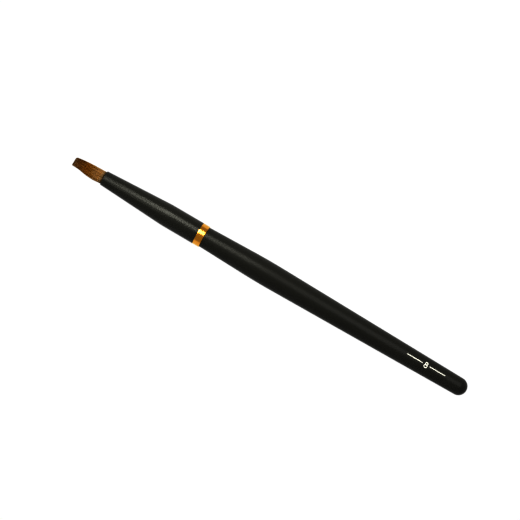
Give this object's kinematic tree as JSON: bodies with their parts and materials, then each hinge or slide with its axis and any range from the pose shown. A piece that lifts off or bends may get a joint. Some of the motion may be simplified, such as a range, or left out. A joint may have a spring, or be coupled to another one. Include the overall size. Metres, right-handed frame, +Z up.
{
  "type": "acrylic nail brush",
  "caption": "Slim acrylic nail brush: flat-cut natural hair tuft in a tapered black metal ferrule with a gold ring, on a black lacquered wooden handle with a soft belly and a domed end.",
  "frame": {"origin": "on the table that the brush lies on, below the middle of its length and width", "axes": "+X from the hair tuft along the brush to the domed rear end of the handle, +Z up and square to the flat of the tuft, +Y across"},
  "size_m": [0.17, 0.0094, 0.0094],
  "materials": {
    "hair": "natural red-brown hair, darker and translucent at the cut end, tan at the ferrule",
    "thread": "waxed cotton thread",
    "resin": "cured amber epoxy",
    "black_metal": "semi-gloss black paint on thin metal",
    "gold": "polished gold-coloured brass",
    "black_lacquer": "satin black lacquer on wood",
    "adhesive": "cured adhesive film",
    "print_ink": "off-white screen-printed ink"
  },
  "bodies": {
    "brush": {"binding_thread": "thread", "epoxy_plug": "resin", "ferrule": "black_metal", "gold_ring": "gold", "handle": "black_lacquer", "tenon_glue": "adhesive", "size_mark": "print_ink"},
    "tuft": {"hair_tuft": "hair"}
  },
  "joints": [
    {"name": "tuft_bend", "type": "hinge", "parent": "brush", "child": "tuft", "pos_m": [-0.0721, 0, 0.00471], "axis": [0, 1, 0], "range_deg": [-18, 18], "stiffness_Nm_per_rad": 0.001, "deforming": ["hair_tuft"]}
  ]
}
